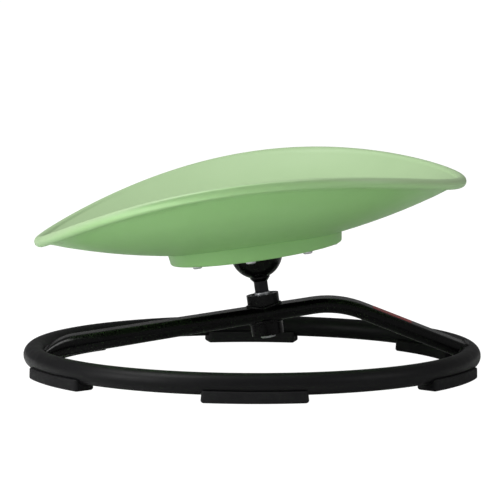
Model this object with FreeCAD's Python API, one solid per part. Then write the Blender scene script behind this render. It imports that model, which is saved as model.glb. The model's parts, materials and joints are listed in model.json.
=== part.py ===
import FreeCAD, Part
import math
import os

# Spinning dish seat on a ring base, in millimetres.
# Origin: on the floor, under the centre of the base ring. +Z up, +X along the support arm
# towards its short steep leg. The seat turns about an axis that leans towards -X.

V = FreeCAD.Vector
X_AXIS = V(1, 0, 0)
Y_AXIS = V(0, 1, 0)
Z_AXIS = V(0, 0, 1)

# Base ring: 1-inch steel tube bent to a circle
RING_R = 262.0
TUBE_R = 12.7
RING_WALL = 1.5
RING_Z = 20.5

# Rubber feet clipped over the underside of the ring
FOOT_DEGREES = (-89.0, -27.5, 31.0, 90.5, 150.5, 211.0)
FOOT_LENGTH = 118.0
FOOT_WIDTH = 28.0
FOOT_HEIGHT = 13.7
FOOT_END_DRAFT = 1.5
FOOT_END_R = 4.5
FOOT_EDGE_R = 3.2
FOOT_TOP_R = 1.5
FOOT_SCREW_SPACING = 70.0

# Pan-head screws that hold the feet
FOOT_SCREW_R = 2.0
FOOT_SCREW_HEAD_R = 3.8
FOOT_SCREW_HEAD_H = 2.6
FOOT_SCREW_RECESS = 4.0
FOOT_SCREW_TIP_Z = 14.0
CLEARANCE = 0.2

# Support arm: an oval steel tube, straight up, one bend, straight down. Its left tip is pressed flatter from
# above, to meet the ring's inner side under its crest, and a pressed tube gets wider as it gets lower.
ARM_RISE_DEG = 9.45
ARM_FALL_DEG = 21.2
ARM_CORNER_X = 103.2
ARM_CORNER_Z = 83.3
ARM_BEND_R = 115.0
ARM_END_X = 258.0
ARM_LONG_END_SIZE = (23.5, 44.0)
ARM_BEND_SIZE = (17.8, 48.0)
ARM_TIP_START_X = -214.0
ARM_TIP_END_X = -254.0
ARM_TIP_DROP = 16.8
ARM_TIP_SECTIONS = 5
ARM_WIDENING = math.pi / 2 - 1
ARM_WALL = 2.0
WELD_LEG = 2.5

# Plain label on top of the short leg
LABEL_START_X = 142.0
LABEL_LENGTH = 50.0
LABEL_WIDTH = 26.0
LABEL_THICKNESS = 0.3

# Seat axis: its origin is the top of the bearing sleeve, on the axis
AXIS_X = 12.0
AXIS_Z = 92.0
AXIS_LEAN_DEG = 8.4
SEAT_TURN_DEG = -2.5

# Bearing sleeve, heights along the seat axis
SLEEVE_R = 19.4
SLEEVE_BOTTOM = -49.5
SLEEVE_MID_BORE_R = 13.6
SLEEVE_WELD_R = 22.2
SLEEVE_WELD_TOP = -9.4
SLEEVE_WELD_BOTTOM = -38.6
SLEEVE_WELD_DEPTH = 5.0

# Two deep-groove ball bearings, 15 x 32 x 9
BEARING_BORE_R = 7.5
BEARING_OUTER_R = 16.0
BEARING_WIDTH = 9.0
BEARING_INNER_SHOULDER_R = 9.9
BEARING_OUTER_SHOULDER_R = 13.6
BALL_COUNT = 9
BALL_R = 2.25
BALL_PITCH_R = 11.75
BALL_GROOVE_R = 2.55
CAGE_INNER_R = 10.9
CAGE_OUTER_R = 12.6
CAGE_HALF_WIDTH = 3.0
CAGE_POCKET_R = 2.4
SEAL_INNER_R = 10.25
SEAL_NEAR = 3.5
SEAL_FAR = 4.1
UPPER_BEARING_TOP = -0.5
LOWER_BEARING_TOP = -37.5

# Spindle and what is clamped on it
NECK_R = 8.3
THREAD_R = 5.0
SPINDLE_BOTTOM = -53.6
SHOULDER_RING_R = 9.6
SHOULDER_RING_TOP = 2.4
SPACER_R = 9.5
END_WASHER_R = 9.8
END_WASHER_THICKNESS = 1.5
NUT_FLATS = 16.0
NUT_HEIGHT = 5.0

# Half-round hub under the seat
DOME_R = 31.3
DOME_WALL = 3.0
COLLAR_R = 12.0
COLLAR_BOTTOM = 15.5
COLLAR_EDGE = 19.5
COLLAR_TOP = 25.0

# Plinth and mounting plate under the seat shell
PLINTH_BOTTOM = 49.9
PLINTH_BOTTOM_R = 103.9
PLINTH_TOP_R = 105.4
PLINTH_TOP = 82.0
PLINTH_INNER_R = 99.0
PLINTH_FLANGE_R = 86.0
PLINTH_FLANGE_TOP = 57.0
PLINTH_GAP = 0.1
PLATE_R = 98.6
PLATE_THICKNESS = 2.5
PLATE_TOP = PLINTH_BOTTOM + PLATE_THICKNESS

# Screws through the plate into inserts in the shell
PLATE_SCREW_COUNT = 8
PLATE_SCREW_PCD_R = 93.0
PLATE_SCREW_FIRST_DEG = -91.3
PLATE_SCREW_R = 3.0
PLATE_SCREW_HEAD_R = 5.6
PLATE_SCREW_HEAD_H = 3.0
PLATE_SCREW_LENGTH = 12.0
PLATE_SCREW_SOCKET = 4.0
INSERT_R = 4.2
INSERT_LENGTH = 7.0
BOSS_R = 5.8

# Seat shell: a saddle-shaped dish with a rolled rim
SHELL_CENTRE_Z = 55.2
SHELL_WALL = 5.0
SHELL_CURVE_LOW = 7.0e-4
SHELL_CURVE_HIGH = 1.15e-3
SHELL_FLARE_R = 250.0
SHELL_SIDE_FLARE = 14.2
SHELL_FLAT_R = 8.0
SHELL_RING_COUNT = 12
SHELL_UNDER_R = 245.0
SHELL_BLEND_R = 195.0
SHELL_SECTIONS = 48
RIM_R = 255.0
RIM_BEAD_R = 7.0
RIM_LOW_Z = 101.5
RIM_SIDE_RISE = 45.8
RIM_TIP = 1.8
RIM_ARC_START_DEG = -110
RIM_ARC_END_DEG = 150
RIM_ARC_STEP_DEG = 26
PATCH_GRID = 12
PATCH_REACH = 120.0
BOSS_ROOT = 2.0


def cylinder(radius, z_low, z_high, x=0.0, y=0.0):
    """Upright cylinder between two heights."""
    return Part.makeCylinder(radius, z_high - z_low, V(x, y, z_low))


def tube(outer, inner, z_low, z_high):
    """Upright tube between two heights."""
    return cylinder(outer, z_low, z_high).cut(cylinder(inner, z_low - 1, z_high + 1))


def turned(outline):
    """Solid of revolution about Z from an outline of (radius, height) points."""
    points = [V(radius, 0, height) for radius, height in outline]
    face = Part.Face(Part.makePolygon(points + [points[0]]))
    return face.revolve(V(0, 0, 0), Z_AXIS, 360)


def around(shape, count, radius, first_deg=0.0):
    """Copies of a shape on a circle about Z, as one compound."""
    copies = []
    for index in range(count):
        copy = shape.copy()
        copy.translate(V(radius, 0, 0))
        copy.rotate(V(0, 0, 0), Z_AXIS, first_deg + index * 360.0 / count)
        copies.append(copy)
    return Part.makeCompound(copies)


def on_seat_axis(shape):
    """Moves a shape from the seat axis's own frame to the object's frame."""
    moved = shape.copy()
    moved.rotate(V(0, 0, 0), Y_AXIS, -AXIS_LEAN_DEG)
    moved.translate(V(AXIS_X, 0, AXIS_Z))
    return moved


def on_turned_seat(shape):
    """As on_seat_axis, with the seat's resting turn about the axis first."""
    turned_shape = shape.copy()
    turned_shape.rotate(V(0, 0, 0), Z_AXIS, SEAT_TURN_DEG)
    return on_seat_axis(turned_shape)


def hexagon(flats, z_low, z_high):
    """Upright hexagonal prism of a given width across flats."""
    corner = flats / math.sqrt(3)
    angles = [math.radians(60 * index) for index in range(7)]
    points = [V(corner * math.cos(a), corner * math.sin(a), z_low) for a in angles]
    return Part.Face(Part.makePolygon(points)).extrude(V(0, 0, z_high - z_low))


# Base ring and feet

def ring_torus(tube_radius):
    """Solid torus on the base ring's centre line."""
    return Part.makeTorus(RING_R, tube_radius, V(0, 0, RING_Z), Z_AXIS)


def foot_screw_offsets():
    """Angles, in degrees from a foot's middle, of its two screws."""
    half = math.degrees(FOOT_SCREW_SPACING / 2 / RING_R)
    return (-half, half)


def at_foot_screws(shape):
    """Copies of a shape at every foot screw."""
    copies = []
    for foot_deg in FOOT_DEGREES:
        for offset in foot_screw_offsets():
            copy = shape.copy()
            copy.translate(V(RING_R, 0, 0))
            copy.rotate(V(0, 0, 0), Z_AXIS, foot_deg + offset)
            copies.append(copy)
    return Part.makeCompound(copies)


def base_ring():
    ring = ring_torus(TUBE_R).cut(ring_torus(TUBE_R - RING_WALL))
    hole = cylinder(FOOT_SCREW_R + CLEARANCE, 0, FOOT_SCREW_TIP_Z)
    return ring.cut(at_foot_screws(hole))


def foot_block():
    """Solid arc block as wide as a foot, longer than it at both ends."""
    sweep_deg = math.degrees(1.2 * FOOT_LENGTH / RING_R)
    inner = RING_R - FOOT_WIDTH / 2
    outer = RING_R + FOOT_WIDTH / 2
    corners = [V(inner, 0, 0), V(outer, 0, 0), V(outer, 0, FOOT_HEIGHT), V(inner, 0, FOOT_HEIGHT)]
    section = Part.Face(Part.makePolygon(corners + [corners[0]]))
    section.rotate(V(0, 0, 0), Z_AXIS, -sweep_deg / 2)
    return section.revolve(V(0, 0, 0), Z_AXIS, sweep_deg)


def foot_end_cutter(side):
    """Block that trims one end of a foot, sloping inwards towards the top; side is -1 or 1."""
    lean_deg = math.degrees(math.atan(FOOT_END_DRAFT / FOOT_HEIGHT))
    half_deg = math.degrees(FOOT_LENGTH / 2 / RING_R)
    reach = FOOT_LENGTH
    cutter = Part.makeBox(2 * reach, reach, 2 * reach, V(-reach, 0, -reach))
    cutter.rotate(V(0, 0, 0), X_AXIS, lean_deg)
    if side < 0:
        cutter = cutter.mirror(V(0, 0, 0), Y_AXIS)
    cutter.translate(V(RING_R, 0, 0))
    cutter.rotate(V(0, 0, 0), Z_AXIS, side * half_deg)
    return cutter


def foot(angle_deg):
    block = foot_block().cut([foot_end_cutter(-1), foot_end_cutter(1)])
    upright = [edge for edge in block.Edges if edge.BoundBox.ZLength > FOOT_HEIGHT / 2]
    block = block.makeFillet(FOOT_END_R, upright)
    low = [edge for edge in block.Edges if edge.BoundBox.ZMax < 0.01]
    block = block.makeFillet(FOOT_EDGE_R, low)
    high = [edge for edge in block.Edges if edge.BoundBox.ZMin > FOOT_HEIGHT - 0.01]
    block = block.makeFillet(FOOT_TOP_R, high)
    pad = block.cut(ring_torus(TUBE_R))
    for offset in foot_screw_offsets():
        spot_x = RING_R * math.cos(math.radians(offset))
        spot_y = RING_R * math.sin(math.radians(offset))
        recess = cylinder(FOOT_SCREW_HEAD_R + CLEARANCE, -1, FOOT_SCREW_RECESS, spot_x, spot_y)
        pad = pad.cut(recess)
        pad = pad.cut(cylinder(FOOT_SCREW_R + CLEARANCE, 0, FOOT_SCREW_TIP_Z, spot_x, spot_y))
    pad.rotate(V(0, 0, 0), Z_AXIS, angle_deg)
    return pad


def foot_screws():
    head_low = FOOT_SCREW_RECESS - FOOT_SCREW_HEAD_H
    head = cylinder(FOOT_SCREW_HEAD_R, head_low, FOOT_SCREW_RECESS)
    head = head.makeFillet(1.2, [edge for edge in head.Edges if edge.BoundBox.ZMax < head_low + 0.01])
    shank = cylinder(FOOT_SCREW_R, FOOT_SCREW_RECESS, FOOT_SCREW_TIP_Z - 1)
    tip = Part.makeCone(FOOT_SCREW_R, 0.3, 3, V(0, 0, FOOT_SCREW_TIP_Z - 1), Z_AXIS)
    slots = Part.makeBox(4.4, 0.9, 1.2, V(-2.2, -0.45, head_low)).fuse(
        Part.makeBox(0.9, 4.4, 1.2, V(-0.45, -2.2, head_low)))
    return at_foot_screws(head.fuse([shank, tip]).cut(slots))


# Support arm

def arm_direction(slope_deg):
    """Unit vector along the arm, in the XZ plane."""
    return V(math.cos(math.radians(slope_deg)), 0, math.sin(math.radians(slope_deg)))


def arm_tangent_length():
    return ARM_BEND_R * math.tan(math.radians(ARM_RISE_DEG + ARM_FALL_DEG) / 2)


def arm_point(x):
    """Point of the arm's straight centre lines at a given X."""
    slope_deg = ARM_RISE_DEG if x < ARM_CORNER_X else -ARM_FALL_DEG
    return V(x, 0, ARM_CORNER_Z + (x - ARM_CORNER_X) * math.tan(math.radians(slope_deg)))


def oval_face(centre, slope_deg, size, grow=0.0):
    """Flat-sided oval section, square to the arm; size is (height, width)."""
    height = size[0] + 2 * grow
    width = size[1] + 2 * grow
    up = arm_up(slope_deg)
    radius = height / 2
    side = Y_AXIS * (width / 2 - radius)
    top_near = centre + up * radius - side
    top_far = centre + up * radius + side
    low_near = centre - up * radius - side
    low_far = centre - up * radius + side
    edges = [
        Part.LineSegment(top_near, top_far).toShape(),
        Part.Arc(top_far, centre + side + Y_AXIS * radius, low_far).toShape(),
        Part.LineSegment(low_far, low_near).toShape(),
        Part.Arc(low_near, centre - side - Y_AXIS * radius, top_near).toShape(),
    ]
    return Part.Face(Part.Wire(edges))


def arm_up(slope_deg):
    """Unit vector square to the arm, upwards."""
    return V(-math.sin(math.radians(slope_deg)), 0, math.cos(math.radians(slope_deg)))


def arm_bend_start():
    corner = V(ARM_CORNER_X, 0, ARM_CORNER_Z)
    return corner - arm_direction(ARM_RISE_DEG) * arm_tangent_length()


def arm_bend_finish():
    corner = V(ARM_CORNER_X, 0, ARM_CORNER_Z)
    return corner + arm_direction(-ARM_FALL_DEG) * arm_tangent_length()


def arm_long_leg_size(x):
    """(height, width) of the long leg before its tip is pressed."""
    share = (x + ARM_END_X) / (arm_bend_start().x + ARM_END_X)
    return [low + (high - low) * share for low, high in zip(ARM_LONG_END_SIZE, ARM_BEND_SIZE)]


def arm_tip_section(share, grow):
    """Section of the pressed tip, from its start at share 0 to its end at share 1."""
    x = ARM_TIP_START_X + (ARM_TIP_END_X - ARM_TIP_START_X) * share
    drop = ARM_TIP_DROP * share ** 2
    height, width = arm_long_leg_size(x)
    centre = arm_point(x) - arm_up(ARM_RISE_DEG) * (drop / 2)
    return oval_face(centre, ARM_RISE_DEG, (height - drop, width + ARM_WIDENING * drop), grow).OuterWire


def arm_long_leg(grow):
    finish = oval_face(arm_bend_start(), ARM_RISE_DEG, ARM_BEND_SIZE, grow)
    straight = Part.makeLoft([arm_tip_section(0, grow), finish.OuterWire], True, True)
    tip_sections = [arm_tip_section(index / ARM_TIP_SECTIONS, grow) for index in range(ARM_TIP_SECTIONS + 1)]
    return straight.fuse(Part.makeLoft(tip_sections, True, False))


def arm_bend(grow):
    centre = arm_bend_start() - arm_up(ARM_RISE_DEG) * ARM_BEND_R
    section = oval_face(arm_bend_start(), ARM_RISE_DEG, ARM_BEND_SIZE, grow)
    return section.revolve(centre, Y_AXIS, ARM_RISE_DEG + ARM_FALL_DEG)


def arm_short_leg(grow):
    fall = arm_direction(-ARM_FALL_DEG)
    section = oval_face(arm_bend_finish(), -ARM_FALL_DEG, ARM_BEND_SIZE, grow)
    length = (ARM_END_X - arm_bend_finish().x) / fall.x
    return section.extrude(fall * length)


def arm_body(grow=0.0):
    """The arm as a solid bar, grown all round by a given amount."""
    return arm_long_leg(grow).fuse([arm_bend(grow), arm_short_leg(grow)])


def support_arm():
    arm = arm_body().cut(arm_body(-ARM_WALL))
    arm = arm.cut(ring_torus(TUBE_R))
    return arm.cut(on_seat_axis(cylinder(SLEEVE_R, SLEEVE_BOTTOM, 0)))


def arm_weld(leg):
    """Bead around one end of the arm, on the ring."""
    bead = leg(WELD_LEG).common(ring_torus(TUBE_R + WELD_LEG))
    return bead.cut(ring_torus(TUBE_R)).cut(arm_body())


def arm_weld_left():
    return arm_weld(arm_long_leg)


def arm_weld_right():
    return arm_weld(arm_short_leg)


def label_blank():
    fall = arm_direction(-ARM_FALL_DEG)
    up = arm_up(-ARM_FALL_DEG)
    start = arm_point(LABEL_START_X) + up * (ARM_BEND_SIZE[0] / 2)
    near = Y_AXIS * (-LABEL_WIDTH / 2)
    far = Y_AXIS * (LABEL_WIDTH / 2)
    along = fall * LABEL_LENGTH
    corners = [start + near, start + along + near, start + along + far, start + far]
    sheet = Part.Face(Part.makePolygon(corners + [corners[0]])).extrude(up * LABEL_THICKNESS)
    rounded = [edge for edge in sheet.Edges if edge.Length < 2 * LABEL_THICKNESS]
    return sheet.makeFillet(3.0, rounded)


# Bearing sleeve and bearings

def bearing_sleeve():
    sleeve = cylinder(SLEEVE_R, SLEEVE_BOTTOM, 0)
    upper_floor = UPPER_BEARING_TOP - BEARING_WIDTH
    sleeve = sleeve.cut(cylinder(BEARING_OUTER_R, upper_floor, 1))
    sleeve = sleeve.cut(cylinder(BEARING_OUTER_R, SLEEVE_BOTTOM - 1, LOWER_BEARING_TOP))
    sleeve = sleeve.cut(cylinder(SLEEVE_MID_BORE_R, LOWER_BEARING_TOP - 1, upper_floor + 1))
    return on_seat_axis(sleeve)


def sleeve_weld(rim_height, foot_height):
    """Fillet weld between the sleeve and the arm, as a cone around the sleeve."""
    cone = turned([(SLEEVE_R, rim_height), (SLEEVE_WELD_R, foot_height), (SLEEVE_R, foot_height)])
    return on_seat_axis(cone).cut(arm_body())


def sleeve_weld_upper():
    return sleeve_weld(SLEEVE_WELD_TOP, SLEEVE_WELD_TOP - SLEEVE_WELD_DEPTH)


def sleeve_weld_lower():
    return sleeve_weld(SLEEVE_WELD_BOTTOM, SLEEVE_WELD_BOTTOM + SLEEVE_WELD_DEPTH)


def at_bearing(shape, top):
    """Moves a bearing piece, drawn about its own middle, to a bearing's place."""
    moved = shape.copy()
    moved.translate(V(0, 0, top - BEARING_WIDTH / 2))
    return on_seat_axis(moved)


def ball_groove():
    return Part.makeTorus(BALL_PITCH_R, BALL_GROOVE_R)


def bearing_outer_race():
    half = BEARING_WIDTH / 2
    return tube(BEARING_OUTER_R, BEARING_OUTER_SHOULDER_R, -half, half).cut(ball_groove())


def bearing_inner_race():
    half = BEARING_WIDTH / 2
    return tube(BEARING_INNER_SHOULDER_R, BEARING_BORE_R, -half, half).cut(ball_groove())


def bearing_balls():
    return around(Part.makeSphere(BALL_R), BALL_COUNT, BALL_PITCH_R)


def bearing_cage():
    ring = tube(CAGE_OUTER_R, CAGE_INNER_R, -CAGE_HALF_WIDTH, CAGE_HALF_WIDTH)
    return ring.cut(around(Part.makeSphere(CAGE_POCKET_R), BALL_COUNT, BALL_PITCH_R))


def bearing_seals():
    upper = tube(BEARING_OUTER_SHOULDER_R, SEAL_INNER_R, SEAL_NEAR, SEAL_FAR)
    lower = tube(BEARING_OUTER_SHOULDER_R, SEAL_INNER_R, -SEAL_FAR, -SEAL_NEAR)
    return Part.makeCompound([upper, lower])


# Spindle and the pieces clamped on it

def spindle():
    neck = cylinder(NECK_R, SHOULDER_RING_TOP, PLATE_TOP)
    journal = cylinder(BEARING_BORE_R, LOWER_BEARING_TOP - BEARING_WIDTH, SHOULDER_RING_TOP)
    thread = cylinder(THREAD_R, SPINDLE_BOTTOM, LOWER_BEARING_TOP - BEARING_WIDTH)
    end = [edge for edge in thread.Edges if edge.BoundBox.ZMax < SPINDLE_BOTTOM + 0.01]
    thread = thread.makeChamfer(1.0, end)
    return on_seat_axis(neck.fuse([journal, thread]))


def shoulder_ring():
    ring = tube(SHOULDER_RING_R, BEARING_BORE_R, UPPER_BEARING_TOP, SHOULDER_RING_TOP)
    edges = [edge for edge in ring.Edges if edge.BoundBox.XLength > 2 * NECK_R]
    return on_seat_axis(ring.makeChamfer(0.4, edges))


def bearing_spacer():
    top = UPPER_BEARING_TOP - BEARING_WIDTH
    return on_seat_axis(tube(SPACER_R, BEARING_BORE_R, LOWER_BEARING_TOP, top))


def end_washer():
    top = LOWER_BEARING_TOP - BEARING_WIDTH
    return on_seat_axis(tube(END_WASHER_R, THREAD_R, top - END_WASHER_THICKNESS, top))


def lock_nut():
    top = LOWER_BEARING_TOP - BEARING_WIDTH - END_WASHER_THICKNESS
    bottom = top - NUT_HEIGHT
    corner = NUT_FLATS / math.sqrt(3)
    chamfer = corner - NUT_FLATS / 2
    envelope = turned([
        (0, bottom), (NUT_FLATS / 2, bottom), (corner, bottom + chamfer),
        (corner, top - chamfer), (NUT_FLATS / 2, top), (0, top),
    ])
    nut = hexagon(NUT_FLATS, bottom, top).common(envelope)
    return on_seat_axis(nut.cut(cylinder(THREAD_R, bottom - 1, top + 1)))


def hub_dome():
    """Half-round steel cup under the plate, with a chamfered collar around the neck."""
    centre = V(0, 0, PLINTH_BOTTOM)
    cup = Part.makeSphere(DOME_R, centre).cut(Part.makeSphere(DOME_R - DOME_WALL, centre))
    cup = cup.cut(cylinder(DOME_R + 1, PLINTH_BOTTOM, PLINTH_BOTTOM + DOME_R + 1))
    collar = turned([(0, COLLAR_BOTTOM), (NECK_R + 0.4, COLLAR_BOTTOM), (COLLAR_R, COLLAR_EDGE),
                     (COLLAR_R, COLLAR_TOP), (0, COLLAR_TOP)])
    dome = cup.fuse(collar).cut(cylinder(NECK_R, 0, PLINTH_BOTTOM + 1))
    return on_seat_axis(dome)


def mounting_plate():
    plate = tube(PLATE_R, NECK_R, PLINTH_BOTTOM, PLATE_TOP)
    hole = cylinder(PLATE_SCREW_R + CLEARANCE, PLINTH_BOTTOM - 1, PLATE_TOP + 1)
    return on_turned_seat(plate.cut(at_plate_screws(hole)))


def at_plate_screws(shape):
    return around(shape, PLATE_SCREW_COUNT, PLATE_SCREW_PCD_R, PLATE_SCREW_FIRST_DEG)


def plate_screws():
    head_low = PLINTH_BOTTOM - PLATE_SCREW_HEAD_H
    head = cylinder(PLATE_SCREW_HEAD_R, head_low, PLINTH_BOTTOM)
    rounded = [edge for edge in head.Edges if edge.BoundBox.ZMax < head_low + 0.01]
    head = head.makeFillet(PLATE_SCREW_HEAD_H * 0.6, rounded)
    shank = cylinder(PLATE_SCREW_R, PLINTH_BOTTOM, PLINTH_BOTTOM + PLATE_SCREW_LENGTH)
    socket = hexagon(PLATE_SCREW_SOCKET, head_low - 1, head_low + PLATE_SCREW_HEAD_H * 0.6)
    return on_turned_seat(at_plate_screws(head.fuse(shank).cut(socket)))


def threaded_inserts():
    top = PLINTH_FLANGE_TOP + INSERT_LENGTH
    insert = tube(INSERT_R, PLATE_SCREW_R, PLINTH_FLANGE_TOP, top)
    return on_turned_seat(at_plate_screws(insert))


# Seat shell and plinth

def shell_height(x, y):
    """Height of the shell's underside in the seat axis's frame."""
    distance_sq = x * x + y * y
    bend = SHELL_CURVE_LOW * x * x + SHELL_CURVE_HIGH * y * y
    bowl = bend * (1 - SHELL_FLAT_R ** 2 / distance_sq) if distance_sq else 0.0
    outwards = distance_sq / SHELL_FLARE_R ** 2
    flare = SHELL_SIDE_FLARE * (y / SHELL_FLARE_R) ** 2 * outwards ** 2
    return SHELL_CENTRE_Z + bowl + flare + RIM_TIP * y / SHELL_FLARE_R * outwards


def shell_stretch(x, y):
    """How much taller than its wall the shell is upright, where it slopes."""
    step = 0.5
    slope_x = (shell_height(x + step, y) - shell_height(x - step, y)) / (2 * step)
    slope_y = (shell_height(x, y + step) - shell_height(x, y - step)) / (2 * step)
    return math.sqrt(1 + slope_x ** 2 + slope_y ** 2)


def rim_height(angle):
    """Height of the middle of the rim's bead: low at both ends, and a little higher at +Y than at -Y."""
    return RIM_LOW_Z + RIM_SIDE_RISE * math.sin(angle) ** 2 + RIM_TIP * math.sin(angle)


def rim_arc_angles():
    return [math.radians(deg) for deg in
            range(RIM_ARC_START_DEG, RIM_ARC_END_DEG + 1, RIM_ARC_STEP_DEG)]


def dish_height(radius, angle):
    """Height of the shell's upper face, which runs up smoothly into the rim."""
    x = radius * math.cos(angle)
    y = radius * math.sin(angle)
    wall = SHELL_WALL * (shell_stretch(x, y) if radius > SHELL_FLAT_R else 1.0)
    height = shell_height(x, y) + wall
    if radius <= SHELL_BLEND_R:
        return height
    end = rim_arc_angles()[-1]
    edge_r = RIM_R + RIM_BEAD_R * math.cos(end)
    edge_x = edge_r * math.cos(angle)
    edge_y = edge_r * math.sin(angle)
    edge_height = shell_height(edge_x, edge_y) + SHELL_WALL * shell_stretch(edge_x, edge_y)
    lift = rim_height(angle) + RIM_BEAD_R * math.sin(end) - edge_height
    share = (radius - SHELL_BLEND_R) / (edge_r - SHELL_BLEND_R)
    return height + lift * share ** 2


def shell_section(angle):
    """Points of the shell's outline at one angle: underside, round the rim, upper face."""
    step = (SHELL_UNDER_R - SHELL_FLAT_R) / SHELL_RING_COUNT
    radii = [SHELL_FLAT_R + index * step for index in range(SHELL_RING_COUNT + 1)]
    outline = []
    for radius in radii:
        x = radius * math.cos(angle)
        y = radius * math.sin(angle)
        outline.append((radius, shell_height(x, y)))
    for turn in rim_arc_angles():
        outline.append((RIM_R + RIM_BEAD_R * math.cos(turn),
                        rim_height(angle) + RIM_BEAD_R * math.sin(turn)))
    for radius in reversed(radii):
        outline.append((radius, dish_height(radius, angle)))
    return [V(r * math.cos(angle), r * math.sin(angle), height) for r, height in outline]


def skin_patches(surface, rows):
    """The skin cut into patches: four quarters, each split at the rim's two edges and crest."""
    quarter = SHELL_SECTIONS // 4
    middle = len(rows[0]) // 2
    under_end = SHELL_RING_COUNT
    arc_points = len(rim_arc_angles())
    columns = [under_end, under_end + 1 + arc_points // 2, under_end + 1 + arc_points]
    turns = [surface.parameter(rows[quarter * index][middle])[0] for index in (1, 2, 3)]
    turns = [0.0] + turns + [1.0]
    spans = [surface.parameter(rows[1][column])[1] for column in columns]
    spans = [0.0] + spans + [1.0]
    patches = []
    for turn_low, turn_high in zip(turns, turns[1:]):
        for span_low, span_high in zip(spans, spans[1:]):
            patch = surface.copy()
            patch.segment(turn_low, turn_high, span_low, span_high)
            patches.append(patch.toShape())
    return patches


def dish():
    """The shell as one smooth skin, closed by two small flat discs at the middle."""
    turns = [2 * math.pi * index / SHELL_SECTIONS for index in range(SHELL_SECTIONS)]
    rows = [shell_section(turn) for turn in turns]
    rows.append(rows[0])
    surface = Part.BSplineSurface()
    surface.interpolate(rows)
    faces = skin_patches(surface, rows)
    small = 4 * SHELL_FLAT_R
    edges = [edge for face in faces for edge in face.Edges]
    around_middle = [edge for edge in edges if
                     abs(edge.CenterOfMass.x) + abs(edge.CenterOfMass.y) < small
                     and edge.BoundBox.ZLength < 0.1]
    half_wall = SHELL_CENTRE_Z + SHELL_WALL / 2
    below = [edge for edge in around_middle if edge.CenterOfMass.z < half_wall]
    above = [edge for edge in around_middle if edge.CenterOfMass.z > half_wall]
    discs = [Part.Face(Part.Wire(Part.__sortEdges__(ring))) for ring in (below, above)]
    shell = Part.makeShell(faces + discs)
    shell.sewShape()
    return Part.makeSolid(shell)


def space_above_shell(raise_by):
    """Everything above the middle of the shell's underside, raised by a given amount."""
    spacing = 2 * PATCH_REACH / PATCH_GRID
    places = [-PATCH_REACH + index * spacing for index in range(PATCH_GRID + 1)]
    rows = [[V(x, y, shell_height(x, y) + raise_by) for y in places] for x in places]
    surface = Part.BSplineSurface()
    surface.interpolate(rows)
    return surface.toShape().extrude(V(0, 0, PATCH_REACH))


def seat_shell():
    boss = cylinder(BOSS_R, PLINTH_FLANGE_TOP, PLINTH_TOP)
    bosses = at_plate_screws(boss).cut(space_above_shell(BOSS_ROOT))
    shell = dish().fuse(bosses.Solids)
    seat = cylinder(INSERT_R, PLINTH_FLANGE_TOP, PLINTH_FLANGE_TOP + INSERT_LENGTH)
    return on_turned_seat(shell.cut(at_plate_screws(seat)))


def seat_plinth():
    """Round skirt between the plate and the shell, with a flange for the screws."""
    skirt = Part.makeCone(PLINTH_BOTTOM_R, PLINTH_TOP_R, PLINTH_TOP - PLINTH_BOTTOM,
                          V(0, 0, PLINTH_BOTTOM), Z_AXIS)
    skirt = skirt.cut(cylinder(PLINTH_INNER_R, PLINTH_BOTTOM - 1, PLINTH_TOP + 1))
    flange = tube(PLINTH_INNER_R + 1, PLINTH_FLANGE_R, PLATE_TOP, PLINTH_FLANGE_TOP)
    plinth = skirt.fuse(flange).cut(space_above_shell(-PLINTH_GAP))
    hole = cylinder(PLATE_SCREW_R + CLEARANCE, PLINTH_BOTTOM, PLINTH_TOP)
    return on_turned_seat(plinth.cut(at_plate_screws(hole)))


def sub_parts():
    """Every sub-part by its name."""
    parts = {
        "base_ring": base_ring(),
        "support_arm": support_arm(),
        "arm_weld_left": arm_weld_left(),
        "arm_weld_right": arm_weld_right(),
        "label_blank": label_blank(),
        "bearing_sleeve": bearing_sleeve(),
        "sleeve_weld_upper": sleeve_weld_upper(),
        "sleeve_weld_lower": sleeve_weld_lower(),
        "foot_screws": foot_screws(),
        "spindle": spindle(),
        "shoulder_ring": shoulder_ring(),
        "bearing_spacer": bearing_spacer(),
        "end_washer": end_washer(),
        "lock_nut": lock_nut(),
        "hub_dome": hub_dome(),
        "mounting_plate": mounting_plate(),
        "plate_screws": plate_screws(),
        "threaded_inserts": threaded_inserts(),
        "seat_plinth": seat_plinth(),
        "seat_shell": seat_shell(),
    }
    for index, angle_deg in enumerate(FOOT_DEGREES):
        parts["foot_%d" % (index + 1)] = foot(angle_deg)
    for place, top in (("upper", UPPER_BEARING_TOP), ("lower", LOWER_BEARING_TOP)):
        parts[place + "_outer_race"] = at_bearing(bearing_outer_race(), top)
        parts[place + "_inner_race"] = at_bearing(bearing_inner_race(), top)
        parts[place + "_balls"] = at_bearing(bearing_balls(), top)
        parts[place + "_cage"] = at_bearing(bearing_cage(), top)
        parts[place + "_seals"] = at_bearing(bearing_seals(), top)
    return parts


os.makedirs("parts", exist_ok=True)
for name, shape in sub_parts().items():
    shape.exportStep("parts/%s.step" % name)
    print("%-20s solids %2d  volume %.0f mm3" % (name, len(shape.Solids), shape.Volume))
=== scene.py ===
"""Looks of the spinning dish seat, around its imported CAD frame. Metres, in the CAD's own frame."""

import json
import math

import bmesh
import bpy
from mathutils import Matrix, Vector


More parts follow.
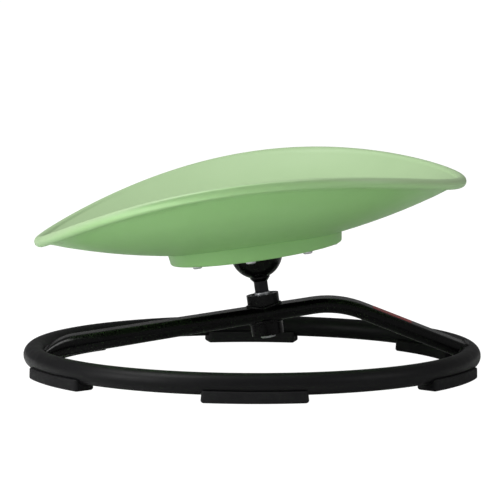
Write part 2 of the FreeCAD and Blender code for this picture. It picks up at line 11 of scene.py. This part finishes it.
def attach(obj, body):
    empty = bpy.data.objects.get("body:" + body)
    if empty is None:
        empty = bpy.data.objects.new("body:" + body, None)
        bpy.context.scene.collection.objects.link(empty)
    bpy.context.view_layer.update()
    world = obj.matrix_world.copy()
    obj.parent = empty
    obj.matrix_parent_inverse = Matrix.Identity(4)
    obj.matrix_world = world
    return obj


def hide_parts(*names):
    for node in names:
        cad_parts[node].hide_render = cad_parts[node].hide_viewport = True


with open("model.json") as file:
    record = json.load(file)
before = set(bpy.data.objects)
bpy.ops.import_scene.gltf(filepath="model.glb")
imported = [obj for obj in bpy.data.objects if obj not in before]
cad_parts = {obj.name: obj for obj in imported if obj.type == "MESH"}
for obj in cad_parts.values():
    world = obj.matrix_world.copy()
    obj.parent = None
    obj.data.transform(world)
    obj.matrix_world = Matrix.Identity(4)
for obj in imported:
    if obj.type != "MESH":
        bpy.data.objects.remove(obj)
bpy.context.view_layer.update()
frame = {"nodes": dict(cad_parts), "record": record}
nodes = frame["nodes"]
scene = bpy.context.scene

MM = 0.001
MAP_RANGE_INPUTS = ("From Min", "From Max", "To Min", "To Max")

# Driving sizes, in millimetres as the CAD has them

RING_R = 262.0
TUBE_R = 12.7
RING_Z = 20.5

ARM_RISE = math.radians(9.45)
ARM_FALL = math.radians(21.2)
ARM_CORNER = Vector((103.2, 0, 83.3))
ARM_BEND_R = 115.0
ARM_END_X = 258.0
ARM_LONG_END_SIZE = (23.5, 44.0)
ARM_BEND_SIZE = (17.8, 48.0)
ARM_TIP_START_X = -214.0
ARM_TIP_END_X = -254.0
ARM_TIP_DROP = 16.8
ARM_WIDENING = math.pi / 2 - 1
ARM_RIGHT_INSIDE = 200.0
OVAL_SPREAD = 3

AXIS_PLACE = Vector((12.0, 0, 92.0))
AXIS_LEAN = math.radians(8.4)
SEAT_TURN = math.radians(-2.5)
SEAT_AXIS = Matrix.Translation(AXIS_PLACE) @ Matrix.Rotation(-AXIS_LEAN, 4, "Y")
TURNED_SEAT = SEAT_AXIS @ Matrix.Rotation(SEAT_TURN, 4, "Z")

SLEEVE_R = 19.4
SLEEVE_BOTTOM = -49.5
SLEEVE_MIDDLE = -24.0

PLINTH_BOTTOM = 49.9
PLINTH_BOTTOM_R = 103.9
PLINTH_TOP_R = 105.4
PLINTH_INNER_R = 99.0
PLINTH_FLANGE_R = 86.0
PLINTH_FLANGE_LOW = 52.4
PLINTH_FLANGE_TOP = 57.0
PLINTH_ROUNDING = 2.6
PLINTH_BITE = 1.2
PLINTH_TOP_BAND = 2.0
PLINTH_SHARP_DEG = 40
SCREW_COUNT = 8
SCREW_CIRCLE_R = 93.0
SCREW_FIRST = math.radians(-91.3)
BOSS_R = 5.8
BOSS_FOOT = 1.0
BOSS_BITE = 2.0

SHELL_CENTRE_Z = 55.2
SHELL_WALL = 5.0
SHELL_CURVE_LOW = 7.0e-4
SHELL_CURVE_HIGH = 1.15e-3
SHELL_FLARE_R = 250.0
SHELL_SIDE_FLARE = 14.2
SHELL_FLAT_R = 8.0
SHELL_RING_COUNT = 12
SHELL_UNDER_R = 245.0
SHELL_BLEND_R = 195.0
RIM_R = 255.0
RIM_LOW_Z = 101.5
RIM_SIDE_RISE = 45.8
RIM_TIP = 1.8

WELD_R = 1.9
WELD_STAND = 0.5
WELD_RIPPLE = 2.4
RIPPLE_SWELL = 0.13
RIPPLE_LEAN = 0.5
UNEVEN_SWELLS = ((0.05, 3.1), (0.04, 0.37))

# How finely the pieces are meshed

SHELL_FINENESS = 3
SHELL_ANGLES = 240
SLOPE_STEP = 0.5
BOSS_ANGLES = 24
ROUNDING_DEG = range(0, 91, 15)
WELD_POINTS = 220
WELD_SIDES = 14
HALVINGS = 40

# Studio

WHITE = (1, 1, 1, 1)
SEEN_WHITE = 1.2
FLOOR_HALF = 120.0
FLOOR_HEIGHT = -0.0004
FLOOR_GREY = 0.82
FLOOR_SEEN_SHADE = 0.16
SKY_FRONT = 0.40
SKY_BACK = 0.18
SKY_FADE = 0.8
AIM_HEIGHT = 0.15

CAMERA_PLACE = (0.01705, -3.3, 0.46962)
CAMERA_PITCH = -0.0981653
CAMERA_YAW = -0.0060402
CAMERA_ROLL = 0.00312416
CAMERA_LENS = 198.84
CAMERA_NEAR = 0.1
CAMERA_FAR = 400


# Materials: each is a small node graph on a Principled shader

class Graph:
    """A material's node graph, with short calls for the nodes that repeat."""

    def __init__(self, name):
        self.material = bpy.data.materials.new(name)
        self.material.use_nodes = True
        self.tree = self.material.node_tree
        self.shader = self.tree.nodes["Principled BSDF"]
        self.place = self.add("ShaderNodeTexCoord").outputs["Object"]

    def add(self, kind, **settings):
        node = self.tree.nodes.new(kind)
        for key, value in settings.items():
            setattr(node, key, value)
        return node

    def link(self, source, target):
        self.tree.links.new(source, target)

    def set(self, **values):
        for key, value in values.items():
            self.shader.inputs[key.replace("_", " ")].default_value = value

    def noise(self, size_mm, detail=3.0, roughness=0.5):
        """Noise whose features are about size_mm across."""
        node = self.add("ShaderNodeTexNoise")
        node.inputs["Scale"].default_value = 1.0 / (size_mm * MM)
        node.inputs["Detail"].default_value = detail
        node.inputs["Roughness"].default_value = roughness
        self.link(self.place, node.inputs["Vector"])
        return node.outputs["Fac"]

    def remap(self, source, low, high, new_low, new_high):
        node = self.add("ShaderNodeMapRange", clamp=True)
        self.link(source, node.inputs["Value"])
        for key, value in zip(MAP_RANGE_INPUTS, (low, high, new_low, new_high)):
            node.inputs[key].default_value = value
        return node.outputs["Result"]

    def mix(self, share, first, second):
        """Mix of two colours, each given as a tuple or as another node's output."""
        node = self.add("ShaderNodeMix", data_type="RGBA")
        self.link(share, node.inputs["Factor"])
        for key, value in (("A", first), ("B", second)):
            if isinstance(value, tuple):
                node.inputs[key].default_value = (*value, 1)
            else:
                self.link(value, node.inputs[key])
        return node.outputs["Result"]

    def colour(self, source):
        self.link(source, self.shader.inputs["Base Color"])

    def roughness(self, source):
        self.link(source, self.shader.inputs["Roughness"])

    def bump(self, *layers):
        """Stacked bumps, each a (height source, depth in mm) pair."""
        last = None
        for source, depth_mm in layers:
            node = self.add("ShaderNodeBump")
            node.inputs["Strength"].default_value = 1.0
            node.inputs["Distance"].default_value = depth_mm * MM
            self.link(source, node.inputs["Height"])
            if last is not None:
                self.link(last, node.inputs["Normal"])
            last = node.outputs["Normal"]
        self.link(last, self.shader.inputs["Normal"])


def seat_plastic():
    """Finely grained moulded plastic, painted paler on its upper face and the top of its rim: painted sheen
    standing in for reflected light.
    """
    graph = Graph("seat_green_plastic")
    graph.set(Specular_IOR_Level=0.45)
    patches = graph.remap(graph.noise(60, 4), 0.3, 0.7, 0, 1)
    outside = graph.mix(patches, (0.320, 0.618, 0.224), (0.332, 0.636, 0.236))
    # The paler, less saturated copy of the green is painted sheen on the upper face and rim top, blended in
    # by the mesh's attribute
    inside = graph.mix(patches, (0.376, 0.530, 0.294), (0.390, 0.545, 0.307))
    side = graph.add("ShaderNodeAttribute", attribute_name="painted_sheen").outputs["Fac"]
    graph.colour(graph.mix(side, outside, inside))
    graph.roughness(graph.remap(graph.noise(14, 5), 0.3, 0.7, 0.38, 0.46))
    graph.bump((graph.noise(45, 1), 0.03), (graph.noise(0.9, 2), 0.008))
    return graph.material


def scaled(tint, share):
    return tuple(share * part for part in tint)


def powder_coat(name, tint, rough, shine, peel_mm):
    """Baked powder, slightly patchy, with an orange peel of a given depth."""
    graph = Graph(name)
    graph.set(Specular_IOR_Level=shine)
    patches = graph.remap(graph.noise(25, 4), 0.3, 0.7, 0, 1)
    graph.colour(graph.mix(patches, tint, scaled(tint, 1.25)))
    graph.roughness(graph.remap(graph.noise(9, 5), 0.3, 0.7, rough - 0.04, rough + 0.05))
    graph.bump((graph.noise(2.6, 1), peel_mm), (graph.noise(0.7, 2), peel_mm * 0.3))
    return graph.material


def foot_rubber():
    """Matt black rubber with a little dust."""
    graph = Graph("foot_rubber")
    graph.set(Specular_IOR_Level=0.15)
    dust = graph.remap(graph.noise(18, 6, 0.65), 0.35, 0.75, 0, 1)
    graph.colour(graph.mix(dust, (0.007, 0.007, 0.0077), (0.0115, 0.0115, 0.0122)))
    graph.roughness(graph.remap(graph.noise(6, 5), 0.3, 0.7, 0.62, 0.78))
    graph.bump((graph.noise(0.8, 3), 0.02))
    return graph.material


def metal(name, tint, rough, grain_mm):
    """Bare or plated metal with faint stains and a fine grain."""
    graph = Graph(name)
    graph.set(Metallic=1.0)
    stain = graph.remap(graph.noise(5, 4), 0.3, 0.75, 0, 1)
    graph.colour(graph.mix(stain, tint, scaled(tint, 0.82)))
    graph.roughness(graph.remap(graph.noise(1.5, 5), 0.3, 0.7, rough - 0.05, rough + 0.08))
    graph.bump((graph.noise(grain_mm, 2), 0.006))
    return graph.material


def matte(name, tint, rough):
    """Plain matt surface, for the seals and the label."""
    graph = Graph(name)
    patches = graph.remap(graph.noise(7, 4), 0.3, 0.7, 0, 1)
    graph.colour(graph.mix(patches, tint, scaled(tint, 0.85)))
    graph.roughness(graph.remap(graph.noise(3, 4), 0.3, 0.7, rough - 0.06, rough + 0.06))
    graph.bump((graph.noise(0.5, 2), 0.006))
    return graph.material


FINISHES = {
    "powder_coat_satin": powder_coat("ring_satin_coat", (0.0042, 0.0042, 0.0047), 0.44, 0.13, 0.012),
    "powder_coat_gloss": powder_coat("arm_gloss_coat", (0.0008, 0.0008, 0.0009), 0.26, 0.15, 0.004),
    "seat_plastic": seat_plastic(),
    "foot_rubber": foot_rubber(),
    "spindle_steel": metal("black_oxide_steel", (0.022, 0.022, 0.024), 0.35, 0.6),
    "zinc_steel": metal("bright_zinc", (0.66, 0.67, 0.69), 0.28, 0.5),
    "bearing_steel": metal("ground_steel", (0.72, 0.72, 0.73), 0.14, 0.3),
    "bearing_cage": metal("pressed_brass", (0.62, 0.47, 0.22), 0.3, 0.5),
    "bearing_seal": matte("nitrile_seal", (0.02, 0.02, 0.02), 0.55),
    "insert_brass": metal("knurled_brass", (0.68, 0.50, 0.22), 0.32, 0.4),
    "label_red": matte("red_label", (0.45, 0.02, 0.02), 0.35),
}

for part in frame["record"]["subparts"]:
    mesh = nodes[part["node"]].data
    mesh.materials.clear()
    mesh.materials.append(FINISHES[part["material_slot"]])


# Pieces that are finer than their CAD nodes

def grid_piece(name, rows, close_rows, close_columns, caps=()):
    """A smooth mesh from rows of points in millimetres. A cap closes the first or last column at a point."""
    mesh = bpy.data.meshes.new(name)
    width = len(rows[0])
    points = [Vector(point) * MM for row in rows for point in row]
    faces = []
    row_pairs = len(rows) if close_rows else len(rows) - 1
    column_pairs = width if close_columns else width - 1
    for i in range(row_pairs):
        for j in range(column_pairs):
            here, there = i * width, (i + 1) % len(rows) * width
            after = (j + 1) % width
            faces.append((here + j, there + j, there + after, here + after))
    for column, centre in caps:
        points.append(Vector(centre) * MM)
        for i in range(row_pairs):
            here, there = i * width + column, (i + 1) % len(rows) * width + column
            around_tip = (here, there, len(points) - 1)
            faces.append(around_tip if column else around_tip[::-1])
    mesh.from_pydata(points, [], faces)
    mesh.update()
    turned = bmesh.new()
    turned.from_mesh(mesh)
    bmesh.ops.recalc_face_normals(turned, faces=turned.faces)
    turned.to_mesh(mesh)
    turned.free()
    mesh.polygons.foreach_set("use_smooth", [True] * len(mesh.polygons))
    piece = bpy.data.objects.new(name, mesh)
    scene.collection.objects.link(piece)
    return piece


def finish_piece(piece, body, slot, *stands_for):
    """Gives a piece its finish and body, and hides the CAD nodes that it stands for."""
    piece.data.materials.append(FINISHES[slot])
    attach(piece, body)
    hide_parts(*stands_for)


def smooth_line(points, steps):
    """More points on a curve through the given ones (Catmull-Rom)."""
    line = []
    ends = [points[0]] + list(points) + [points[-1]]
    for p0, p1, p2, p3 in zip(ends, ends[1:], ends[2:], ends[3:]):
        for step in range(steps):
            t = step / steps
            line.append(0.5 * (2 * p1 + (p2 - p0) * t + (2 * p0 - 5 * p1 + 4 * p2 - p3) * t ** 2
                               + (3 * p1 - p0 - 3 * p2 + p3) * t ** 3))
    line.append(Vector(points[-1]))
    return line


# Seat

# Rim section from the groove under it, up its face and over its crest, as (outward, upward) from the
# middle of its bead. It is a round bead at the dish's two ends, and this waisted lip along its sides.
LIP_PROFILE = (
    (-3.6, -6.9), (0.0, -6.0), (3.2, -5.2), (4.8, -4.3), (5.2, -3.0), (4.6, -1.4), (4.1, 0.6), (4.5, 2.6),
    (5.5, 4.3), (4.3, 5.9), (1.6, 6.8), (-2.2, 6.3), (-6.1, 3.5),
)
BEAD_MIDDLE = Vector((-0.4, 0.2))
BEAD_R = 6.4
BEAD_DEG = range(-112, 153, 22)

# Where the painted sheen comes in: the colour goes from the underside's to the rim face's and on to the
# upper face's, counted in points of the section
PAINTED_SHEEN_ON_BEAD = (1, 2.5, 3, 6)
PAINTED_SHEEN_ON_LIP = (1.5, 3, 7.5, 9.5)
# Share of the painted sheen that the rim's face gets
RIM_FACE_PAINTED_SHEEN = 0.4


def lip_share(angle):
    """How much of the rim's section is a lip at an angle, and not a bead."""
    return math.sin(angle) ** 4


def rim_section(angle):
    """The rim's section at an angle, from the middle of its bead."""
    section = []
    for lip, turn in zip(LIP_PROFILE, map(math.radians, BEAD_DEG)):
        bead = BEAD_MIDDLE + BEAD_R * Vector((math.cos(turn), math.sin(turn)))
        section.append(bead.lerp(Vector(lip), lip_share(angle)))
    return section


def shell_height(x, y):
    """Height of the shell's underside in the seat axis's frame."""
    distance_sq = max(x * x + y * y, SHELL_FLAT_R ** 2)
    bend = SHELL_CURVE_LOW * x * x + SHELL_CURVE_HIGH * y * y
    outwards = distance_sq / SHELL_FLARE_R ** 2
    side_flare = SHELL_SIDE_FLARE * (y / SHELL_FLARE_R) ** 2 * outwards ** 2
    tip = RIM_TIP * y / SHELL_FLARE_R * outwards
    return SHELL_CENTRE_Z + bend * (1 - SHELL_FLAT_R ** 2 / distance_sq) + side_flare + tip


def shell_stretch(x, y):
    """How much taller than its wall the shell is upright, where it slopes."""
    step = SLOPE_STEP
    slope_x = (shell_height(x + step, y) - shell_height(x - step, y)) / (2 * step)
    slope_y = (shell_height(x, y + step) - shell_height(x, y - step)) / (2 * step)
    return math.sqrt(1 + slope_x ** 2 + slope_y ** 2)


def rim_height(angle):
    """Height of the middle of the rim's bead."""
    return RIM_LOW_Z + RIM_SIDE_RISE * math.sin(angle) ** 2 + RIM_TIP * math.sin(angle)


def dish_height(radius, angle):
    """Height of the shell's upper face, which runs up smoothly into the rim."""
    x, y = radius * math.cos(angle), radius * math.sin(angle)
    height = shell_height(x, y) + SHELL_WALL * shell_stretch(x, y)
    if radius <= SHELL_BLEND_R:
        return height
    edge = rim_section(angle)[-1]
    edge_r = RIM_R + edge.x
    edge_x, edge_y = edge_r * math.cos(angle), edge_r * math.sin(angle)
    edge_height = shell_height(edge_x, edge_y) + SHELL_WALL * shell_stretch(edge_x, edge_y)
    lift = rim_height(angle) + edge.y - edge_height
    return height + lift * ((radius - SHELL_BLEND_R) / (edge_r - SHELL_BLEND_R)) ** 2


def shell_outline(angle):
    """(radius, height) points at one angle: underside, round the rim, upper face."""
    step = (SHELL_UNDER_R - SHELL_FLAT_R) / SHELL_RING_COUNT
    radii = [SHELL_FLAT_R + index * step for index in range(SHELL_RING_COUNT + 1)]
    outline = []
    for radius in radii:
        outline.append(Vector((radius, shell_height(radius * math.cos(angle), radius * math.sin(angle)))))
    for spot in rim_section(angle):
        outline.append(Vector((RIM_R, rim_height(angle))) + spot)
    for radius in reversed(radii):
        outline.append(Vector((radius, dish_height(radius, angle))))
    return smooth_line(outline, SHELL_FINENESS)


def on_seat(radius, angle, height):
    """Point in the turned seat's frame, given round its axis."""
    return TURNED_SEAT @ Vector((radius * math.cos(angle), radius * math.sin(angle), height))


def seat_shell():
    """The dish, as one closed mesh with its rim."""
    rows = []
    for index in range(SHELL_ANGLES):
        angle = 2 * math.pi * index / SHELL_ANGLES
        rows.append([on_seat(radius, angle, height) for radius, height in shell_outline(angle)])
    under = on_seat(0, 0, SHELL_CENTRE_Z)
    upper = on_seat(0, 0, SHELL_CENTRE_Z + SHELL_WALL)
    last = len(rows[0]) - 1
    piece = grid_piece("seat_dish", rows, True, False, [(0, under), (last, upper)])
    # Painted sheen: marks the upper face and rim top for the paler green
    mark_painted_sheen(piece.data, len(rows[0]))
    finish_piece(piece, "seat", "seat_plastic", "seat_shell")


def ramp(value, first, last):
    """0 up to first, 1 from last on, and straight between."""
    return min(1.0, max(0.0, (value - first) / (last - first)))


def mark_painted_sheen(mesh, width):
    """Marks where sheen is painted into the colour: the upper face with 1, the underside with 0 and the rim's
    face with a share between.
    """
    values = []
    for index in range(len(mesh.vertices) - 2):
        lip = lip_share(2 * math.pi * (index // width) / SHELL_ANGLES)
        steps = [bead + (side - bead) * lip for bead, side in zip(PAINTED_SHEEN_ON_BEAD, PAINTED_SHEEN_ON_LIP)]
        place = index % width / SHELL_FINENESS - SHELL_RING_COUNT - 1
        values.append(RIM_FACE_PAINTED_SHEEN * ramp(place, *steps[:2]) + (1 - RIM_FACE_PAINTED_SHEEN) * ramp(place, *steps[2:]))
    values += [0.0, 1.0]
    mesh.attributes.new("painted_sheen", "FLOAT", "POINT").data.foreach_set("value", values)


def seat_bosses():
    """Short pillars under the shell that hold the threaded inserts."""
    angles = [2 * math.pi * index / BOSS_ANGLES for index in range(BOSS_ANGLES)]
    for number in range(SCREW_COUNT):
        turn = SCREW_FIRST + 2 * math.pi * number / SCREW_COUNT
        x, y = SCREW_CIRCLE_R * math.cos(turn), SCREW_CIRCLE_R * math.sin(turn)
        heights = (PLINTH_FLANGE_TOP, PLINTH_FLANGE_TOP + BOSS_FOOT, shell_height(x, y) + BOSS_BITE)
        rows = []
        for angle in angles:
            dx, dy = BOSS_R * math.cos(angle), BOSS_R * math.sin(angle)
            rows.append([TURNED_SEAT @ Vector((x + dx, y + dy, height)) for height in heights])
        low = TURNED_SEAT @ Vector((x, y, heights[0]))
        top = TURNED_SEAT @ Vector((x, y, heights[-1]))
        piece = grid_piece("seat_boss_%d" % (number + 1), rows, True, False, [(0, low), (2, top)])
        finish_piece(piece, "seat", "seat_plastic", "seat_shell")


def plinth_top(radius, angle):
    """Height just inside the shell, at a radius and angle."""
    return shell_height(radius * math.cos(angle), radius * math.sin(angle)) + PLINTH_BITE


def seat_plinth():
    """Round skirt under the dish, with a rounded lower edge and a flange inside for the screws."""
    rows = []
    for index in range(SHELL_ANGLES):
        angle = 2 * math.pi * index / SHELL_ANGLES
        top = plinth_top(PLINTH_TOP_R, angle)
        outline = [(PLINTH_TOP_R, top), (PLINTH_TOP_R, top - PLINTH_TOP_BAND)]
        for turn in map(math.radians, ROUNDING_DEG):
            outline.append((PLINTH_BOTTOM_R - PLINTH_ROUNDING * (1 - math.cos(turn)),
                            PLINTH_BOTTOM + PLINTH_ROUNDING * (1 - math.sin(turn))))
        outline += [(PLINTH_INNER_R, PLINTH_BOTTOM), (PLINTH_INNER_R, PLINTH_FLANGE_LOW),
                    (PLINTH_FLANGE_R, PLINTH_FLANGE_LOW), (PLINTH_FLANGE_R, PLINTH_FLANGE_TOP),
                    (PLINTH_INNER_R, PLINTH_FLANGE_TOP), (PLINTH_INNER_R, plinth_top(PLINTH_INNER_R, angle))]
        rows.append([on_seat(radius, angle, height) for radius, height in outline])
    piece = grid_piece("seat_skirt", rows, True, True)
    piece.data.set_sharp_from_angle(angle=math.radians(PLINTH_SHARP_DEG))
    finish_piece(piece, "seat", "seat_plastic", "seat_plinth")


# Weld beads: where two tubes meet, a rippled bead follows the line that lies on both

def arm_spot(x):
    """(centre point, slope, size) of the arm's section at a given X, with the left tip pressed flatter."""
    long_leg = x < ARM_CORNER.x
    slope = ARM_RISE if long_leg else -ARM_FALL
    centre = ARM_CORNER + Vector((x - ARM_CORNER.x, 0, (x - ARM_CORNER.x) * math.tan(slope)))
    bend_start_x = ARM_CORNER.x - ARM_BEND_R * math.tan((ARM_RISE + ARM_FALL) / 2) * math.cos(ARM_RISE)
    share = min(1.0, (x + ARM_END_X) / (bend_start_x + ARM_END_X))
    height, width = [low + (high - low) * share for low, high in zip(ARM_LONG_END_SIZE, ARM_BEND_SIZE)]
    drop = ARM_TIP_DROP * max(0.0, (ARM_TIP_START_X - x) / (ARM_TIP_START_X - ARM_TIP_END_X)) ** 2
    return centre - arm_up(slope) * (drop / 2), slope, (height - drop, width + ARM_WIDENING * drop)


def arm_up(slope):
    """Unit vector square to the arm, upwards."""
    return Vector((-math.sin(slope), 0, math.cos(slope)))


def arm_skin(x, turn):
    """Point on the arm's oval skin, and the outward direction there, at an angle round the section."""
    centre, slope, (height, width) = arm_spot(x)
    up = arm_up(slope)
    radius, flat = height / 2, (width - height) / 2
    outward = Vector((0, math.cos(turn), 0)) + up * math.sin(turn)
    side = Vector((0, max(-1.0, min(1.0, OVAL_SPREAD * math.cos(turn))) * flat, 0))
    return centre + side + outward * radius, outward


def arm_gap(point):
    """How far a point is outside the arm's long leg."""
    along = Vector((math.cos(ARM_RISE), 0, math.sin(ARM_RISE)))
    foot = ARM_CORNER + along * (point - ARM_CORNER).dot(along)
    _, slope, (height, width) = arm_spot(foot.x)
    up = arm_up(slope)
    side = max(0.0, abs(point.y) - (width - height) / 2)
    return math.hypot(side, (point - foot).dot(up)) - height / 2


def ring_gap(point):
    """How far a point is outside the ring's tube."""
    return math.hypot(math.hypot(point.x, point.y) - RING_R, point.z - RING_Z) - TUBE_R


def where_zero(gap, low, high):
    """Place between low and high where a function that changes sign there is zero."""
    low_sign = gap(low) > 0
    for _ in range(HALVINGS):
        middle = (low + high) / 2
        if (gap(middle) > 0) == low_sign:
            low = middle
        else:
            high = middle
    return (low + high) / 2


def weld_bead(name, path, outward, stands_for):
    """A closed rippled bead along a path; outward is the way that its face looks at each point."""
    count = len(path)
    rows = []
    travelled = 0.0
    total = sum((path[i] - path[i - 1]).length for i in range(count))
    ripples = round(total / WELD_RIPPLE)
    for i in range(count):
        travelled += (path[i] - path[i - 1]).length if i else 0.0
        ripple = math.sin(math.pi * (travelled / total * ripples % 1.0))
        swell = 1 + RIPPLE_SWELL * ripple + sum(share * math.sin(rate * i) for share, rate in UNEVEN_SWELLS)
        ahead = (path[(i + 1) % count] - path[i - 1]).normalized()
        across = outward[i] - ahead * outward[i].dot(ahead)
        across.normalize()
        third = ahead.cross(across)
        row = []
        for step in range(WELD_SIDES):
            turn = 2 * math.pi * step / WELD_SIDES
            reach = across * math.cos(turn) + third * math.sin(turn)
            lean = ahead * (RIPPLE_LEAN * ripple * max(0.0, math.cos(turn)))
            row.append(path[i] + across * WELD_STAND + lean + reach * WELD_R * swell)
        rows.append(row)
    piece = grid_piece(name, rows, True, True)
    finish_piece(piece, "base", "powder_coat_gloss", stands_for)


def arm_weld(name, x_inside, x_outside):
    """Bead where the arm's skin enters the ring's tube, between two places along X."""
    path, outward = [], []
    for index in range(WELD_POINTS):
        turn = 2 * math.pi * index / WELD_POINTS
        x = where_zero(lambda place: ring_gap(arm_skin(place, turn)[0]), x_inside, x_outside)
        point, skin_out = arm_skin(x, turn)
        flat = Vector((point.x, point.y, 0)).normalized() * RING_R
        ring_out = (point - Vector((flat.x, flat.y, RING_Z))).normalized()
        path.append(point)
        outward.append(skin_out + ring_out)
    weld_bead(name + "_bead", path, outward, name)


def sleeve_weld(name, z_outside, z_inside):
    """Bead where the sleeve enters the arm, between two heights on the sleeve."""
    path, outward = [], []
    for index in range(WELD_POINTS):
        turn = 2 * math.pi * index / WELD_POINTS
        reach = Vector((SLEEVE_R * math.cos(turn), SLEEVE_R * math.sin(turn), 0))

        def spot(z):
            return SEAT_AXIS @ (reach + Vector((0, 0, z)))

        z = where_zero(lambda place: arm_gap(spot(place)), z_outside, z_inside)
        away = Vector((0, 0, 1 if z_outside > z_inside else -1))
        path.append(spot(z))
        outward.append((SEAT_AXIS.to_3x3() @ (reach.normalized() + away)))
    weld_bead(name + "_bead", path, outward, name)


seat_shell()
seat_bosses()
seat_plinth()
arm_weld("arm_weld_left", ARM_TIP_START_X, ARM_TIP_END_X)
arm_weld("arm_weld_right", ARM_RIGHT_INSIDE, RING_R)
sleeve_weld("sleeve_weld_upper", 0.0, SLEEVE_MIDDLE)
sleeve_weld("sleeve_weld_lower", SLEEVE_BOTTOM, SLEEVE_MIDDLE)


# Floor, light and camera

def add_node(tree, kind, links=(), **values):
    """A node with inputs set by name, and others linked as (input, source) pairs."""
    node = tree.nodes.new(kind)
    for key, value in values.items():
        node.inputs[key.replace("_", " ")].default_value = value
    for place, source in links:
        tree.links.new(source, node.inputs[place])
    return node


def camera_ray(tree):
    return add_node(tree, "ShaderNodeLightPath").outputs["Is Camera Ray"]


def mixed(tree, share, first, second):
    """Mix of two shader nodes, all first at share 0 and all second at share 1."""
    links = [("Fac", share), (1, first.outputs[0]), (2, second.outputs[0])]
    return add_node(tree, "ShaderNodeMixShader", links)


def floor():
    """White paper that keeps only a faint shadow where the camera looks at it, and is clear from below."""
    mesh = bpy.data.meshes.new("floor")
    h, z = FLOOR_HALF, FLOOR_HEIGHT
    mesh.from_pydata([(-h, -h, z), (h, -h, z), (h, h, z), (-h, h, z)], [], [(0, 1, 2, 3)])
    plane = bpy.data.objects.new("floor", mesh)
    scene.collection.objects.link(plane)
    material = bpy.data.materials.new("floor_white")
    material.use_nodes = True
    tree = material.node_tree
    tree.nodes.clear()
    paper = add_node(tree, "ShaderNodeBsdfDiffuse", Color=(FLOOR_GREY, FLOOR_GREY, FLOOR_GREY, 1))
    glow = add_node(tree, "ShaderNodeEmission", Color=WHITE, Strength=SEEN_WHITE)
    share = add_node(tree, "ShaderNodeMath", [(0, camera_ray(tree))])
    share.operation = "MULTIPLY"
    share.inputs[1].default_value = 1 - FLOOR_SEEN_SHADE
    from_above = mixed(tree, share.outputs[0], paper, glow)
    below = add_node(tree, "ShaderNodeNewGeometry").outputs["Backfacing"]
    surface = mixed(tree, below, from_above, add_node(tree, "ShaderNodeBsdfTransparent"))
    add_node(tree, "ShaderNodeOutputMaterial", [("Surface", surface.outputs[0])])
    mesh.materials.append(material)


def softbox(name, place, size, watts, aim_height=AIM_HEIGHT):
    """A square lamp that faces the object and is out of the camera's sight."""
    data = bpy.data.lights.new(name, "AREA")
    data.shape = "RECTANGLE"
    data.size = size
    data.size_y = size
    data.energy = watts
    lamp = bpy.data.objects.new(name, data)
    scene.collection.objects.link(lamp)
    lamp.location = place
    lamp.rotation_euler = (Vector((0, 0, aim_height)) - Vector(place)).to_track_quat("-Z", "Y").to_euler()
    lamp.visible_camera = False


def studio_sky():
    """White where the camera looks at it; to the object, a dim room that is brighter in front."""
    world = bpy.data.worlds.new("studio")
    scene.world = world
    world.use_nodes = True
    tree = world.node_tree
    tree.nodes.clear()
    place = add_node(tree, "ShaderNodeTexCoord").outputs["Generated"]
    split = add_node(tree, "ShaderNodeSeparateXYZ", [(0, place)])
    fade = add_node(tree, "ShaderNodeMapRange")
    fade.interpolation_type = "SMOOTHSTEP"
    for key, value in zip(MAP_RANGE_INPUTS, (-SKY_FADE, SKY_FADE, SKY_FRONT, SKY_BACK)):
        fade.inputs[key].default_value = value
    tree.links.new(split.outputs["Y"], fade.inputs["Value"])
    light = add_node(tree, "ShaderNodeBackground", [("Strength", fade.outputs["Result"])], Color=WHITE)
    seen = add_node(tree, "ShaderNodeBackground", Color=WHITE, Strength=SEEN_WHITE)
    sky = mixed(tree, camera_ray(tree), light, seen)
    add_node(tree, "ShaderNodeOutputWorld", [("Surface", sky.outputs[0])])


def camera():
    data = bpy.data.cameras.new("camera")
    data.lens = CAMERA_LENS
    data.clip_start = CAMERA_NEAR
    data.clip_end = CAMERA_FAR
    eye = bpy.data.objects.new("camera", data)
    scene.collection.objects.link(eye)
    ahead = Vector((
        math.sin(CAMERA_YAW) * math.cos(CAMERA_PITCH),
        math.cos(CAMERA_YAW) * math.cos(CAMERA_PITCH),
        math.sin(CAMERA_PITCH),
    ))
    level = ahead.cross(Vector((0, 0, 1))).normalized()
    upright = level.cross(ahead)
    right = math.cos(CAMERA_ROLL) * level + math.sin(CAMERA_ROLL) * upright
    up = math.cos(CAMERA_ROLL) * upright - math.sin(CAMERA_ROLL) * level
    turn = Matrix((right, up, -ahead)).transposed().to_4x4()
    eye.matrix_world = Matrix.Translation(CAMERA_PLACE) @ turn
    scene.camera = eye


floor()
softbox("high_left_box", place=(-1.35, -0.4, 2.2), size=1.0, watts=33)
softbox("low_left_box", place=(-2.2, -1.2, 0.9), size=1.2, watts=30, aim_height=0.12)
softbox("top_box", place=(0.1, -0.3, 2.4), size=1.2, watts=5)
softbox("right_box", place=(1.9, -0.9, 1.15), size=1.0, watts=7)
studio_sky()
camera()
scene.view_settings.view_transform = "Standard"
